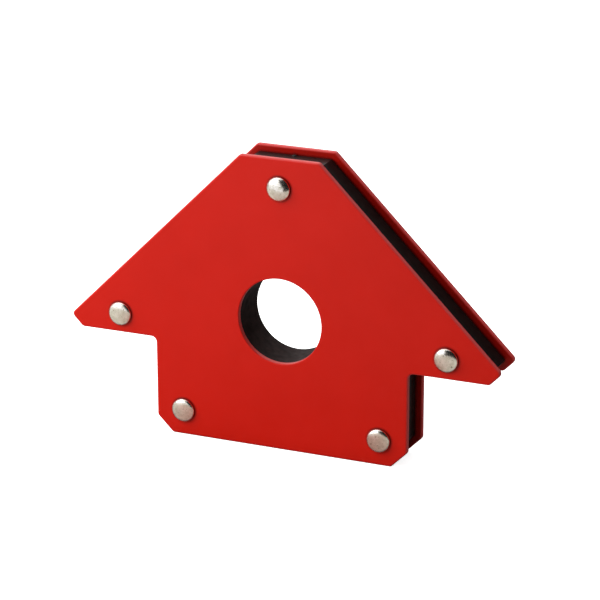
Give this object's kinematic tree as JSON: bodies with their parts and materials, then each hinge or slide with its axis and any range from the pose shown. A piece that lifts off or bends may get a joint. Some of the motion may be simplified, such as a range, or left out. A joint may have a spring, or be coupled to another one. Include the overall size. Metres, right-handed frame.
{
  "type": "welding magnet holder",
  "caption": "Arrow-shaped welding magnet holder: red steel side plates riveted over a black magnet core, with square and mitre working edges and a round through hole.",
  "frame": {"origin": "middle of the base's footprint: midway between the side plates, on the plane the base stands on", "axes": "+X along the width towards the right arm as seen from the front, +Y from the front plate to the back plate, +Z from the base up to the flat top"},
  "size_m": [0.119, 0.0158, 0.0787],
  "materials": {
    "powder_coat": "satin",
    "core_plastic": "satin",
    "liner_plastic": "satin",
    "rivet_steel": "polished",
    "spacer_steel": "satin",
    "ferrite": "matte"
  },
  "bodies": {
    "root": {"front_plate": "powder_coat", "back_plate": "powder_coat", "core_frame": "core_plastic", "bore_liner": "liner_plastic", "rivet_top": "rivet_steel", "rivet_arm_left": "rivet_steel", "rivet_arm_right": "rivet_steel", "rivet_foot_left": "rivet_steel", "rivet_foot_right": "rivet_steel", "spacer_top": "spacer_steel", "spacer_arm_left": "spacer_steel", "spacer_arm_right": "spacer_steel", "spacer_foot_left": "spacer_steel", "spacer_foot_right": "spacer_steel", "magnet_slope_upper_left": "ferrite", "magnet_slope_lower_left": "ferrite", "magnet_slope_upper_right": "ferrite", "magnet_slope_lower_right": "ferrite", "magnet_base_left": "ferrite", "magnet_base_right": "ferrite"}
  },
  "joints": []
}
